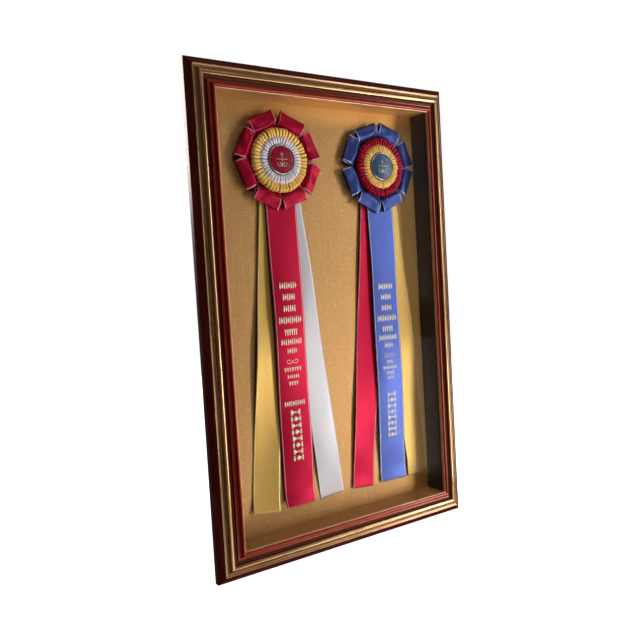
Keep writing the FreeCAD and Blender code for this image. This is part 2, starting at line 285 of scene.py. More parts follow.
def bronze_leaf():
    """Toned metal leaf with rubbed laps, streaks along the rail, darker and less metallic in the hollows."""
    mat = Finish("bronze_leaf")
    streak = mat.noise((8, 520, 1), 5, 0.65, uv="rail")
    cloud = mat.noise((14, 120, 1), 4, uv="rail")
    speck = mat.noise((900, 900, 1), 2, uv="rail")
    base = mat.ramp(streak, [(0.28, (0.34, 0.178, 0.070)), (0.5, (0.42, 0.225, 0.092)),
                             (0.75, (0.50, 0.280, 0.120))])
    # the leaf is darker towards the hollows
    hollow_darkening = mat.attribute("hollow")
    base = mat.blend(mat.times(hollow_darkening, 0.55), base, (0.060, 0.020, 0.007))
    wear = mat.attribute("wear")
    rubbed = mat.times(wear, mat.remap(cloud, 0.52, 0.68))
    base = mat.blend(mat.times(rubbed, 0.6), base, (0.17, 0.045, 0.022))
    base = mat.blend(mat.times(mat.remap(speck, 0.68, 0.75), 0.4), base, (0.08, 0.03, 0.012))
    metal = mat.maths("MULTIPLY_ADD", mat.maths("MAXIMUM", rubbed, hollow_darkening), -0.6, 0.9)
    rough = mat.spread(cloud, 0.25, 0.34)
    return mat.finish({
        "Base Color": base, "Metallic": metal, "Roughness": rough, "Coat Weight": 0.6,
        "Coat Roughness": 0.13, "Normal": mat.bump(streak, 0.08, 0.0005)})


def dark_cove():
    """Deep red-brown in the hollow between the torus and the beads."""
    mat = Finish("dark_cove")
    grain = mat.noise((10, 380, 1), 4, uv="rail")
    base = mat.ramp(grain, [(0.3, (0.024, 0.0022, 0.0008)), (0.75, (0.070, 0.008, 0.0030))])
    return mat.finish({
        "Base Color": base, "Roughness": 0.42, "Specular IOR Level": 0.35, "Specular Tint": (1.0, 0.55, 0.4),
        "Normal": mat.bump(grain, 0.15, 0.0006)})


def red_bole():
    """Polished red bole beads: deep in the flanks, glossy and a little worn on their crests."""
    mat = Finish("red_bole")
    grain = mat.noise((24, 600, 1), 5, uv="rail")
    fleck = mat.noise((110, 900, 1), 3, uv="rail")
    base = mat.ramp(grain, [(0.3, (0.19, 0.010, 0.004)), (0.7, (0.32, 0.028, 0.010))])
    wear = mat.attribute("wear")
    base = mat.blend(mat.times(wear, 0.25), base, (0.52, 0.11, 0.060))
    chips = mat.times(mat.remap(fleck, 0.68, 0.74), wear)
    base = mat.blend(chips, base, (0.62, 0.36, 0.20))
    return mat.finish({
        "Base Color": base, "Metallic": 0.15, "Roughness": mat.spread(grain, 0.20, 0.30),
        "Specular IOR Level": 0.5, "Specular Tint": (1.0, 0.45, 0.33), "Coat Weight": 0.22,
        "Coat Roughness": 0.14, "Coat IOR": 1.6, "Normal": mat.bump(grain, 0.06, 0.0004)})


def sight_gilding():
    """The thin inner lip, pale worn gilding over bole."""
    mat = Finish("sight_gilding")
    streak = mat.noise((30, 900, 1), 4, uv="rail")
    base = mat.ramp(streak, [(0.3, (0.40, 0.17, 0.09)), (0.7, (0.72, 0.42, 0.23))])
    return mat.finish({"Base Color": base, "Metallic": 0.5, "Roughness": 0.34})


def bare_wood():
    """The unfinished back of the moulding: pale softwood with grain and stain runs."""
    mat = Finish("bare_wood")
    rings = mat.noise((5, 260, 1), 6, 0.6, 0.4, uv="rail")
    pores = mat.noise((60, 1600, 1), 3, uv="rail")
    stain = mat.noise((10, 24, 1), 3, uv="rail")
    base = mat.ramp(rings, [(0.25, (0.40, 0.25, 0.13)), (0.55, (0.56, 0.38, 0.21)), (0.8, (0.33, 0.19, 0.09))])
    base = mat.blend(mat.times(mat.remap(pores, 0.55, 0.8), 0.35), base, (0.22, 0.12, 0.06))
    base = mat.blend(mat.remap(stain, 0.6, 0.75, 0.0, 0.35), base, (0.10, 0.03, 0.02))
    return mat.finish({
        "Base Color": base, "Roughness": 0.72, "Specular IOR Level": 0.25,
        "Normal": mat.bump(pores, 0.3, 0.0005)})


MAHOGANY, BRONZE, COVE, BOLE, GILDING, RAW = range(6)


def moulding_outline():
    """Profile as (inward, y, zone, wear) in millimetres from the outer edge; y as in the design."""
    crest = 1.0
    steps = [
        ("line", (0.0, -4.4), 2, MAHOGANY, 0.0),
        ("arc", (0.15, -5.05), (0.8, -5.6), 5, MAHOGANY, crest),
        ("line", (9.2, -11.6), 8, MAHOGANY, 0.15),
        ("arc", (9.75, -11.8), (9.95, -11.95), 3, MAHOGANY, 0.3),
        ("arc", (11.0, -12.95), (12.1, -12.0), 10, BRONZE, 0.4),
        ("arc", (14.2, -11.4), (16.4, -12.9), 10, BRONZE, 0.0),
        ("arc", (22.0, -16.7), (27.2, -13.5), 22, BRONZE, 0.35),
        ("arc", (27.6, -12.7), (27.9, -12.2), 4, BRONZE, 0.8),
        ("arc", (29.9, -10.9), (32.4, -14.0), 12, COVE, 0.0),
        ("arc", (34.9, -21.7), (37.5, -18.6), 22, BOLE, 0.7),
        ("arc", (37.75, -18.35), (38.1, -18.6), 4, COVE, 0.0),
        ("arc", (40.4, -20.5), (42.7, -18.0), 16, BOLE, 0.7),
        ("arc", (42.9, -17.7), (43.15, -17.55), 3, COVE, 0.0),
        ("arc", (44.2, -17.1), (44.7, -16.2), 6, GILDING, 0.4),
        ("line", (44.7, -12.2), 2, GILDING, 0.0),
        ("line", (38.5, -12.2), 1, RAW, 0.0),
        ("line", (38.5, 38.2), 1, RAW, 0.0),
        ("arc", (38.4, 38.42), (38.1, 38.5), 3, RAW, 0.0),
        ("line", (20.5, 38.5), 1, RAW, 0.0),
        ("arc", (20.15, 38.35), (20.0, 38.0), 3, RAW, 0.0),
        ("line", (20.0, 5.2), 1, RAW, 0.0),
        ("line", (0.6, 5.2), 1, RAW, 0.0),
        ("arc", (0.17, 5.03), (0.0, 4.6), 4, MAHOGANY, 0.8),
    ]
    points = [(0.0, 4.6)]
    zones, wear = [], [0.2]
    for step in steps:
        start = points[-1]
        if step[0] == "line":
            _, end, count, zone, worn = step
            new = [tuple(a + (b - a) * (k + 1) / count for a, b in zip(start, end)) for k in range(count)]
        else:
            _, middle, end, count, zone, worn = step
            new = arc_points(start, middle, end, count)
        for k, p in enumerate(new):
            points.append(p)
            zones.append(zone)
            wear.append(worn * math.sin(math.pi * (k + 1) / len(new)) if step[0] == "arc" else worn)
    points.pop()
    wear.pop()
    # the cove's dark colour runs a little way up the inner flank of the torus
    zones = [COVE if 25.0 < u < 27.3 and y < -12 else zone for (u, y), zone in zip(points, zones)]
    return points, zones, wear


RAIL_STEP = 6 * MM


def build_rail(name, length, along, inward, start, finishes, seed):
    """One mitred rail swept along its length, with slight hand-rubbed unevenness."""
    outline, zones, wear = moulding_outline()
    count = len(outline)
    spans = max(8, round(length / RAIL_STEP))
    front = Vector((0, 1, 0))
    across = [0.0]
    for (a, b), (c, d) in zip(outline, outline[1:] + outline[:1]):
        across.append(across[-1] + math.hypot(c - a, d - b) * MM)

    def station(i, j):
        u, y = outline[j % count]
        mitre = u * MM
        s = mitre + (length - 2 * mitre) * i / spans
        # dents and laps, fading out where the rail meets its neighbours
        ends = smoothstep(0, 0.03, s) * smoothstep(0, 0.03, length - s)
        drift = noise.noise(Vector((s * 45, across[j % count] * 260, seed))) * 0.10 * MM
        knock = max(0.0, noise.noise(Vector((s * 22 + 9, across[j % count] * 90, seed + 4))) - 0.52) * 1.6 * MM
        visible = zones[j % count] != RAW
        dent = (drift + knock * wear[j % count]) * ends if visible else 0.0
        return start + along * s + inward * mitre + front * (y * MM + dent)

    def rail_uv(i, j):
        return (length * i / spans + seed * 1.7, across[j])

    points, faces, uvs = sheet_grid(spans, count, station, rail_uv, wrap=True)
    face_zones = [zones[j] for _ in range(spans) for j in range(count)]
    ends = len(faces)
    faces.append(list(range(count)))
    faces.append([spans * count + j for j in reversed(range(count))])
    uvs += [(p[1] * MM, p[0] * MM) for p in outline]
    uvs += [(p[1] * MM, p[0] * MM) for p in reversed(outline)]
    face_zones += [RAW] * (len(faces) - ends)
    rail = make_piece(name, points, faces, finishes, face_zones, uvs, "rail", 28)
    # the leaf is darker in the two hollows beside the torus and on the torus's inner flank
    hollow = [max(1 - abs(u - 14.2) / 2.6, 1 - abs(u - 28.4) / 2.0, 0.0) if y < -5 else 0.0 for u, y in outline]
    for attribute, values in (("wear", wear), ("hollow", hollow)):
        layer = rail.data.attributes.new(attribute, "FLOAT", "POINT")
        layer.data.foreach_set("value", values * (spans + 1))
    return rail


def build_frame():
    finishes = [mahogany(), bronze_leaf(), dark_cove(), red_bole(), sight_gilding(), bare_wood()]
    x, z = Vector((1, 0, 0)), Vector((0, 0, 1))
    rails = {
        "left": (FRAME_HEIGHT, z, x, Vector((-HALF, 0, 0))),
        "right": (FRAME_HEIGHT, -z, -x, Vector((HALF, 0, FRAME_HEIGHT))),
        "bottom": (FRAME_WIDTH, -x, z, Vector((HALF, 0, 0))),
        "top": (FRAME_WIDTH, x, -z, Vector((-HALF, 0, FRAME_HEIGHT))),
    }
    for seed, (side, (length, along, inward, start)) in enumerate(rails.items()):
        rail = build_rail(side + "_moulding", length, along, inward, start, finishes, seed * 3.1)
        settle(rail, side + "_rail")


# ================================================================ box finishes
GLASS_INDEX = 1.035        # well under real glass, so that the lamps don't veil what is behind it


def picture_glass():
    """Thin clear glass: light passes straight through and the surface mirrors a little."""
    mat = Nodes(bpy.data.materials.new("picture_glass"))
    mat.tree.nodes.remove(mat.tree.nodes["Principled BSDF"])
    smear = mat.noise((6, 6, 18), 3)
    clear = mat.add("BsdfTransparent", {"Color": (0.97, 0.985, 0.98)})
    mirror = mat.add("BsdfGlossy", {"Color": (1, 1, 1), "Roughness": mat.spread(smear, 0.02, 0.06)})
    fresnel = mat.add("Fresnel", {"IOR": GLASS_INDEX})
    mat.mix_shaders(fresnel.outputs[0], clear, mirror, mat.tree.nodes["Material Output"])
    return mat.owner


def liner_board():
    """Dark stained liner strips with a satin face and faint saw marks."""
    mat = Finish("dark_liner")
    streak = mat.noise((240, 240, 5), 5)
    cloud = mat.noise((9, 9, 6), 3)
    base = mat.ramp(streak, [(0.3, (0.014, 0.009, 0.010)), (0.75, (0.045, 0.032, 0.036))])
    base = mat.blend(mat.remap(cloud, 0.4, 0.7, 0.0, 0.4), base, (0.055, 0.045, 0.055))
    return mat.finish({
        "Base Color": base, "Roughness": mat.spread(streak, 0.34, 0.5),
        "Specular IOR Level": 0.5, "Normal": mat.bump(streak, 0.12, 0.0005)})


def gold_dupion():
    """Old-gold silk: fine warp and weft, slubs running up the board, tinted gloss, and painted light along the top
    and the right.
    """
    mat = Finish("gold_dupion")
    place = mat.space()
    slub = mat.noise((300, 30, 9), 4, 0.6)
    fleck = mat.noise((160, 160, 420), 3, 0.6)
    tone = mat.noise((5, 5, 3), 3)
    base = mat.ramp(slub, [(0.25, (0.40, 0.192, 0.064)), (0.5, (0.44, 0.220, 0.078)),
                           (0.78, (0.49, 0.255, 0.096))])
    base = mat.blend(mat.remap(fleck, 0.52, 0.72, 0.0, 0.6), base, (0.62, 0.39, 0.185))
    base = mat.blend(mat.remap(tone, 0.35, 0.7, 0.0, 0.25), base, (0.39, 0.185, 0.062))
    # painted light: a warmer, paler tone along the top and the right stands for light falling there, not for the
    # silk's dye
    where = mat.add("SeparateXYZ", {"Vector": place})
    painted_light_top = mat.times(mat.remap(where.outputs["Z"], FRAME_HEIGHT - 0.085, FRAME_HEIGHT - 0.055),
                           mat.remap(where.outputs["X"], -0.17, 0.05, 0.1, 0.55))
    painted_light_right = mat.remap(where.outputs["X"], HALF - 0.100, HALF - 0.060, 0.0, 0.9)
    base = mat.blend(mat.maths("MAXIMUM", painted_light_top, painted_light_right), base, (0.86, 0.46, 0.130))
    warp = mat.bands(place, 420.0, "X", Distortion=0.6, Detail=1.0)
    weft = mat.bands(place, 300.0, "Z", Distortion=0.8, Detail=1.0)
    weave = mat.maths("MULTIPLY_ADD", warp, 0.5, mat.times(weft, 0.5))
    normal = mat.bump(weave, 0.12, 0.0003)
    normal = mat.bump(slub, 0.05, 0.0006, normal)
    return mat.finish({
        "Base Color": base, "Metallic": 0.5, "Roughness": mat.spread(slub, 0.42, 0.52),
        "Specular IOR Level": 0.75, "Specular Tint": (1.0, 0.80, 0.52), "Sheen Weight": 0.2,
        "Sheen Roughness": 0.4, "Sheen Tint": (1.0, 0.82, 0.55), "Normal": normal})


def hardboard():
    """Brown pressed fibre with darker flecks and scuffs."""
    mat = Finish("hardboard")
    fibre = mat.noise((420, 420, 260), 6, 0.7)
    cloud = mat.noise((12, 12, 8), 4)
    scuff = mat.noise((40, 40, 240), 3)
    base = mat.ramp(fibre, [(0.25, (0.105, 0.055, 0.026)), (0.5, (0.20, 0.115, 0.058)), (0.8, (0.31, 0.19, 0.10))])
    base = mat.blend(mat.remap(cloud, 0.35, 0.7, 0.0, 0.45), base, (0.14, 0.075, 0.036))
    base = mat.blend(mat.remap(scuff, 0.68, 0.76, 0.0, 0.3), base, (0.36, 0.25, 0.15))
    return mat.finish({
        "Base Color": base, "Roughness": mat.spread(fibre, 0.55, 0.72),
        "Specular IOR Level": 0.35, "Normal": mat.bump(fibre, 0.3, 0.0004)})


def grainy(name, size, detail, dark, light, rough, bump, depth):
    """A plain material with one fine grain in its colour and surface."""
    mat = Finish(name)
    grain = mat.noise((size, size, size), detail)
    return mat.finish({"Base Color": mat.ramp(grain, [(0.3, dark), (0.7, light)]), "Roughness": rough,
                       "Normal": mat.bump(grain, bump, depth)})


def plated(name, base, rough, tarnish):
    """Plated metal with fine brushing and a little tarnish."""
    mat = Finish(name)
    brush = mat.noise((2500, 2500, 300), 3)
    spots = mat.noise((500, 500, 500), 4)
    colour = mat.blend(mat.remap(spots, 0.5, 0.72, 0.0, 0.6), base, tarnish)
    return mat.finish({
        "Base Color": colour, "Metallic": 1.0,
        "Roughness": mat.remap(spots, 0.3, 0.7, rough, rough + 0.16, False),
        "Normal": mat.bump(brush, 0.06, 0.0002)})


BOARD_STEP = 6 * MM
TURNED_EDGE = 24 * MM


def build_fabric(finish):
    """The covered board's fabric: face, edges and the margin turned over the back."""
    low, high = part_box("fabric_cover")
    front, back = low[1] + 0.2 * MM, high[1] - 0.2 * MM
    half = high[0] - 0.25 * MM
    bottom, top = low[2] + 0.25 * MM, high[2] - 0.25 * MM
    columns = round(2 * half / BOARD_STEP)
    rows = round((top - bottom) / BOARD_STEP)

    def face(i, j):
        x = -half + 2 * half * j / columns
        z = bottom + (top - bottom) * i / rows
        inside = min(half - abs(x), z - bottom, top - z)
        relief = smoothstep(0, 0.03, inside)
        slack = noise.noise(Vector((x * 9, z * 5, 3.0))) * 0.35 * MM
        return Vector((x, front - abs(slack) * relief * 0.8, z))

    points, faces, uvs = sheet_grid(rows, columns, face, lambda i, j: (j / columns, i / rows))
    border = list(range(columns + 1))
    border += [i * (columns + 1) + columns for i in range(1, rows + 1)]
    border += [rows * (columns + 1) + j for j in range(columns - 1, -1, -1)]
    border += [i * (columns + 1) for i in range(rows - 1, 0, -1)]
    depth = 0.35 * MM
    for y, inset in ((front + depth, -depth), (back - depth, -depth), (back, depth), (back, TURNED_EDGE)):
        previous, border = border, []
        for index in previous:
            x, _, z = points[index]
            if inset > 0:
                x = max(-half + inset, min(half - inset, x))
                z = max(bottom + inset, min(top - inset, z))
            border.append(len(points))
            points.append(Vector((x, y, z)))
        for k in range(len(border)):
            m = (k + 1) % len(border)
            faces.append([previous[m], previous[k], border[k], border[m]])
            uvs += [(0, 0), (0, 1), (1, 1), (1, 0)]
    cloth = make_piece("dupion_cover", points, faces, [finish], uvs=uvs, angle=50)
    thicken(cloth, 0.3 * MM)
    settle(cloth, "fabric_cover")


def paint(node, finish):
    """Give a carried-over CAD piece its finish."""
    target = frame["nodes"][node]
    target.data.materials.clear()
    target.data.materials.append(finish)


def build_box():
    paint("glass_pane", picture_glass())
    liner = liner_board()
    silk = gold_dupion()
    for side in ("left", "right"):
        paint("spacer_" + side, liner)
    for side in ("top", "bottom"):
        paint("spacer_" + side, silk)
    foam = grainy("foam_board", 900, 3, (0.70, 0.68, 0.62), (0.84, 0.82, 0.77), 0.8, 0.2, 0.0004)
    paint("display_board", foam)
    paint("back_panel", hardboard())
    build_fabric(silk)


# ================================================================ back hardware
def build_turn_button(node, body, pivot, finish):
    """A stamped turn button: rounded plate, raised rim round its screw hole, soft edges."""
    low, high, centre = face_on(node)
    x0, z0 = pivot
    toward = Vector((centre[0] - x0, 0, centre[1] - z0)).normalized()
    side = Vector((-toward.z, 0, toward.x))
    half = min(high[0] - low[0], high[2] - low[2]) / 2
    reach = max(high[0] - low[0], high[2] - low[2]) - 2 * half
    edge = 0.25 * MM
    hole = 2.07 * MM
    front, back = low[1], high[1]
    steps = 24

    def rim(offset):
        """A stadium outline, offset inward."""
        r = half - offset
        loop = []
        for out, begin in ((0.0, math.pi / 2), (reach, -math.pi / 2)):
            for k in range(steps + 1):
                turn = begin + math.pi * k / steps
                loop.append(toward * (out + r * math.cos(turn)) + side * (r * math.sin(turn)))
        return loop

    def round_loop(radius):
        return [place.normalized() * radius for place in rim(0)]

    levels = [
        (round_loop(hole), front), (round_loop(hole + edge), front), (rim(edge), front), (rim(0), front + edge),
        (rim(0), back - edge), (rim(edge), back), (round_loop(hole + 1.4 * MM), back),
        (round_loop(hole + edge), back), (round_loop(hole), back - edge),
    ]
    loops = [[Vector((x0, y, z0)) + p for p in loop] for loop, y in levels]
    count = len(loops[0])

    def station(i, j):
        return loops[i % len(loops)][j % count]

    points, faces, uvs = sheet_grid(len(loops) - 1, count, station, lambda i, j: (j / count, i / 9), wrap=True)
    last = (len(loops) - 1) * count
    for j in range(count):
        m = (j + 1) % count
        faces.append([last + j, last + m, m, j])
        uvs += [(0, 0)] * 4
    plate = make_piece(node.replace("turn_button", "latch"), points, faces, [finish], uvs=uvs, angle=40)
    settle(plate, node, body)


def build_bumper(node, finish):
    """A domed rubber pad."""
    low, high, centre = face_on(node)
    radius = (high[0] - low[0]) / 2
    y0, y1 = low[1], high[1]
    outline = [(0, y0), (radius, y0), (radius, y0 + 0.9 * MM), (radius - 0.3 * MM, y0 + 1.6 * MM),
               (radius - 1.0 * MM, y1 - 0.5 * MM), (radius - 2.0 * MM, y1 - 0.1 * MM), (0, y1)]
    pad = lathe(node + "_pad", outline, centre, [finish], 48)
    settle(pad, node)


def build_hardware():
    brass = plated("brass_plate", (0.66, 0.47, 0.20), 0.24, (0.30, 0.19, 0.08))
    zinc = plated("zinc_steel", (0.60, 0.60, 0.59), 0.26, (0.34, 0.33, 0.32))
    for joint in frame["record"]["behaviour"]["joints"]:
        if joint["child"].startswith("button_"):
            node = "turn_" + joint["child"]
            build_turn_button(node, joint["child"], (joint["pos_m"][0], joint["pos_m"][2]), brass)
    for node in ("turn_button_screws", "hanger_screws", "corner_v_nails", "d_ring_left", "d_ring_right"):
        paint(node, zinc)
    rubber = grainy("soft_rubber", 1500, 3, (0.020, 0.018, 0.016), (0.050, 0.046, 0.042), 0.62, 0.2, 0.0003)
    for side in ("left", "right"):
        paint("hanger_strap_" + side, brass)
        build_bumper("wall_bumper_" + side, rubber)
    for colour in ("red", "blue"):
        paint(colour + "_staple", zinc)
        paint(colour + "_mounting_pins", zinc)


# ================================================================ ribbon finishes
# the head factor makes the petal and pleat satin a darker (red, blue) or paler (gold, white) copy of the streamer
# satin: painted shade and painted light
SATIN = {
    "red": {"base": (0.45, 0.0043, 0.035), "deep": (0.24, 0.0012, 0.014), "line": (0.95, 0.42, 0.48),
            "tint": (1.0, 0.14, 0.24), "metal": 0.45, "head": 0.72},
    "blue": {"base": (0.074, 0.104, 0.36), "deep": (0.030, 0.045, 0.26), "line": (0.66, 0.74, 1.0),
             "tint": (0.30, 0.42, 1.0), "metal": 0.45, "head": 0.55},
    "gold": {"base": (0.55, 0.335, 0.094), "deep": (0.50, 0.23, 0.036), "line": (0.99, 0.86, 0.50),
             "tint": (1.0, 0.80, 0.34), "metal": 0.40, "head": 1.72},
    "white": {"base": (0.48, 0.43, 0.465), "deep": (0.52, 0.46, 0.50), "line": (0.98, 0.95, 0.97),
              "tint": (1.0, 0.94, 0.98), "metal": 0.25, "head": 1.65},
}


def satin(colour, use):
    """Satin ribbon; its UVs run 0 to 1 across the ribbon and in metres along it."""
    spec = dict(SATIN[colour])
    # painted shade and light: the heads use a darker or paler copy of the same ribbon
    if use == "head":
        spec["base"] = tuple(c * spec["head"] for c in spec["base"])
    mat = Finish("satin_" + colour + "_" + use)
    uv = mat.add("UVMap", uv_map="cloth").outputs[0]
    parts = mat.add("SeparateXYZ", {"Vector": uv})
    across = parts.outputs["X"]
    edge = mat.maths("ABSOLUTE", mat.maths("MULTIPLY_ADD", across, 2.0, -1.0))
    thread = mat.noise((260, 14, 1), 4, 0.6, uv="cloth")
    tone = mat.noise((3, 22, 1), 3, uv="cloth")
    base = mat.blend(mat.remap(thread, 0.3, 0.75, 0.0, 0.45), spec["base"], spec["deep"])
    base = mat.blend(mat.remap(tone, 0.45, 0.75, 0.0, 0.25), base, spec["deep"])
    line_low = mat.remap(edge, 0.905, 0.920)
    line_high = mat.remap(edge, 0.945, 0.960, 1.0, 0.0)
    line = mat.times(line_low, line_high)
    picot = mat.bands(mat.space((0, 1, 0), "cloth"), 62.0, "Y")
    selvage = mat.times(mat.remap(edge, 0.965, 0.985), mat.remap(picot, 0.4, 0.6))
    base = mat.blend(mat.times(line, 0.7), base, spec["line"])
    base = mat.blend(mat.times(selvage, 0.8), base, spec["line"])
    # painted shade: where the pleats fold deep the satin is darkened, standing in for the shade inside the folds
    crease = mat.attribute("crease")
    shade = mat.remap(crease, 0.35, 0.90, 0.0, 0.92)
    base = mat.blend(shade, base, tuple((0.45 if colour == "gold" else 0.22) * c for c in spec["deep"]))
    rib = mat.bands(mat.space((0, 1, 0), "cloth"), 420.0, "Y")
    height = mat.maths("MULTIPLY_ADD", mat.maths("MAXIMUM", line, selvage), mat.times(rib, 0.9),
                       mat.times(thread, 0.25))
    rumple = mat.noise((2.2, 30, 1), 3, uv="cloth")
    normal = mat.bump(height, 0.25, 0.0003)
    normal = mat.bump(rumple, 0.10, 0.0020, normal)
    tangent = mat.add("Tangent", direction_type="UV_MAP", uv_map="cloth").outputs[0]
    return mat.finish({
        "Base Color": base, "Roughness": mat.spread(thread, 0.34, 0.44),
        "Specular IOR Level": 0.7, "Specular Tint": spec["tint"], "Anisotropic": 0.5,
        "Metallic": spec["metal"] * (0.4 if use == "head" and colour in ("gold", "white") else 1.0),
        "Sheen Weight": 0.05, "Sheen Roughness": 0.4, "Sheen Tint": spec["tint"],
        "Tangent": tangent, "Normal": normal})


def foil():
    """Gold printing foil with worn, slightly patchy colour."""
    mat = Finish("gold_foil")
    patch = mat.noise((500, 500, 500), 4)
    base = mat.ramp(patch, [(0.3, (0.72, 0.56, 0.36)), (0.6, (0.96, 0.86, 0.68))])
    return mat.finish({
        "Base Color": base, "Metallic": 0.25, "Roughness": mat.spread(patch, 0.30, 0.45)})


# ================================================================ streamers
# ribbon colour, offset of its top from the rosette centre, lean in degrees and the way it hangs, in mm
STREAMER_TERMS = ("colour", "shift", "lean", "lift", "bulge", "ripple", "phase", "cup", "twist", "curl")
STREAMERS = {
    ("red", "left"): ("gold", -7.2, -5.3, 1.2, 2.0, 1.3, 0.15, -0.8, 1.6, 4.0),
    ("red", "right"): ("white", 9.0, 6.4, 1.8, 2.5, 1.0, 0.55, 0.6, -1.8, -1.0),
    ("red", "centre"): ("red", 0.0, 0.5, 3.4, 5.5, 1.4, 0.35, 1.6, 1.2, 5.0),
    ("blue", "left"): ("red", -10.0, -5.7, 1.2, 2.2, 1.1, 0.7, -0.6, 1.4, 1.5),
    ("blue", "right"): ("gold", 11.2, 5.2, 1.8, 3.0, 1.0, 0.1, 0.7, -2.2, -2.5),
    ("blue", "centre"): ("blue", 0.0, 0.2, 3.4, 5.0, 1.1, 0.8, 1.8, -0.8, 1.0),
}
RIBBON_THICK = 0.3 * MM
TOOTH = 4.9 * MM
TOOTH_DEPTH = 4.2 * MM
STREAMER_STEP = 5 * MM


class Ribbon:
    """A hanging streamer's surface, asked for by distance along and across it."""

    def __init__(self, rosette, side):
        self.spec = spec = dict(zip(STREAMER_TERMS, STREAMERS[rosette, side]))
        _, _, (x, z) = face_on(rosette + "_button_shell")
        self.top = Vector((x + spec["shift"] * MM, 0, z))
        node_low, node_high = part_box(rosette + "_" + side + "_streamer")
        self.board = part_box("fabric_cover")[0][1]
        self.lean = math.radians(spec["lean"])
        self.down = Vector((math.sin(self.lean), 0, -math.cos(self.lean)))
        self.side = Vector((math.cos(self.lean), 0, math.sin(self.lean)))
        wide = node_high[0] - node_low[0]
        self.width = wide if side == "centre" else 48.6 * MM
        self.start = -8 * MM
        self.end = (self.top.z - node_low[2]) / math.cos(self.lean)

    def stand_off(self, across, along):
        """How far the ribbon stands in front of the board."""
        spec = self.spec
        t = max(0.0, along) / self.end
        a = 2 * across / self.width
        hang = math.sin(math.pi * min(1.0, t * 1.05)) ** 0.8
        wave = math.sin(2 * math.pi * (2.1 * t + spec["phase"]) + 0.5 * a)
        fine = noise.noise(Vector((a * 0.7, t * 9, spec["phase"] * 50))) * 1.2
        loose = smoothstep(0.10, 0.45, t)
        stand = spec["lift"] + 1.2 + spec["bulge"] * hang
        stand += (spec["ripple"] * wave + fine * 0.5) * loose
        stand += spec["cup"] * (1 - a * a) * loose
        stand += spec["twist"] * a * math.sin(2 * math.pi * (1.1 * t + spec["phase"])) * loose
        stand += spec["curl"] * smoothstep(0.94, 1.0, t) ** 1.5
        return max(0.7, stand) * MM

    def at(self, across, along, proud=0.0):
        place = self.top + self.down * along + self.side * across
        place.y = self.board - self.stand_off(across, along) - proud
        return place


def build_streamer(rosette, side, finishes):
    ribbon = Ribbon(rosette, side)
    teeth = round(ribbon.width / TOOTH)
    columns = 2 * teeth
    rows = round((ribbon.end - ribbon.start) / STREAMER_STEP)

    def station(i, j):
        across = ribbon.width * (j / columns - 0.5)
        along = ribbon.start + (ribbon.end - TOOTH_DEPTH - ribbon.start) * min(1.0, i / (rows - 1))
        if i == rows and j % 2 == 1:
            along += TOOTH_DEPTH
        elif i == rows:
            along += 0.15 * MM
        return ribbon.at(across, along)

    def cloth_uv(i, j):
        return (j / columns, ribbon.start + (ribbon.end - ribbon.start) * i / rows)

    points, faces, uvs = sheet_grid(rows, columns, station, cloth_uv)
    name = "_".join((rosette, side, "ribbon"))
    piece = make_piece(name, points, faces, [finishes[ribbon.spec["colour"]]], uvs=uvs, angle=60)
    thicken(piece, RIBBON_THICK)
    settle(piece, rosette + "_" + side + "_streamer")
    return ribbon


class FoilSheet:
    """Collects small foil shapes that lie on one ribbon."""

    def __init__(self, ribbon):
        self.ribbon = ribbon
        self.points, self.faces = [], []

    def shape(self, outline):
        """A convex outline in (across, along) metres, fanned from its middle."""
        base = len(self.points)
        middle = [sum(c) / len(outline) for c in zip(*outline)]
        proud = RIBBON_THICK / 2 + 0.10 * MM
        for across, along in [middle] + list(outline):
            self.points.append(self.ribbon.at(across, along, proud))
        count = len(outline)
        for k in range(count):
            self.faces.append([base, base + 1 + k, base + 1 + (k + 1) % count])

    def bar(self, across, along, wide, tall, slant=0.0):
        w, t = wide / 2, tall / 2
        self.shape([(across - w - slant, along + t), (across + w - slant, along + t), (across + w, along),
                    (across + w + slant, along - t), (across - w + slant, along - t), (across - w, along)])

    def diamond(self, across, along, wide, tall):
        self.shape([(across - wide / 2, along), (across, along + tall / 2), (across + wide / 2, along),
                    (across, along - tall / 2)])

    def dot(self, across, along, radius):
        turns = [2 * math.pi * k / 10 for k in range(10)]
        self.shape([(across + radius * math.cos(t), along + radius * math.sin(t)) for t in turns])

    def stroke(self, path, thick):
        """A thin line through (across, along) points."""
        for (a, b), (c, d) in zip(path, path[1:]):
            length = math.hypot(c - a, d - b) or 1e-9
            nx, ny = -(d - b) / length * thick / 2, (c - a) / length * thick / 2
            self.shape([(a + nx, b + ny), (a - nx, b - ny), (c - nx, d - ny), (c + nx, d + ny)])

    def finish(self, name, material, thick):
        piece = make_piece(name, self.points, self.faces, [material], angle=60)
        thicken(piece, thick)
        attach(piece, CASE)


def band_of_lozenges(sheet, along, width, tall, pitch):
    """A row of upright posts and lozenges, close together."""
    count = max(3, round(width / pitch))
    cell = width / count
    for k in range(count):
        across = (k - (count - 1) / 2) * cell
        if k % 3 == 1:
            sheet.diamond(across, along, cell * 0.95, tall)
        else:
            sheet.bar(across, along, cell * 0.50, tall * 0.94)


def band_of_chevrons(sheet, along, width, tall, pitch):
    """A row of arrow-heads pointing down the ribbon, each on a short foot."""
    count = max(3, round(width / pitch))
    cell = width / count
    for k in range(count):
        across = (k - (count - 1) / 2) * cell
        half = cell * 0.34
        sheet.stroke([(across - half, along - tall / 2), (across, along + tall * 0.1),
                      (across + half, along - tall / 2)], cell * 0.30)
        sheet.bar(across, along + tall * 0.25, cell * 0.42, tall * 0.5)


def scroll(sheet, along, size, mirror):
    """A small spiral flourish."""
    path = []
    for k in range(26):
        turn = 0.28 * k
        radius = size * (0.12 + 0.045 * k / 1.3)
        across = mirror * (size * 0.9 + radius * math.cos(turn + 2.4))
        path.append((across, along + radius * math.sin(turn + 2.4) * 0.7))
    sheet.stroke(path, 0.9 * MM)


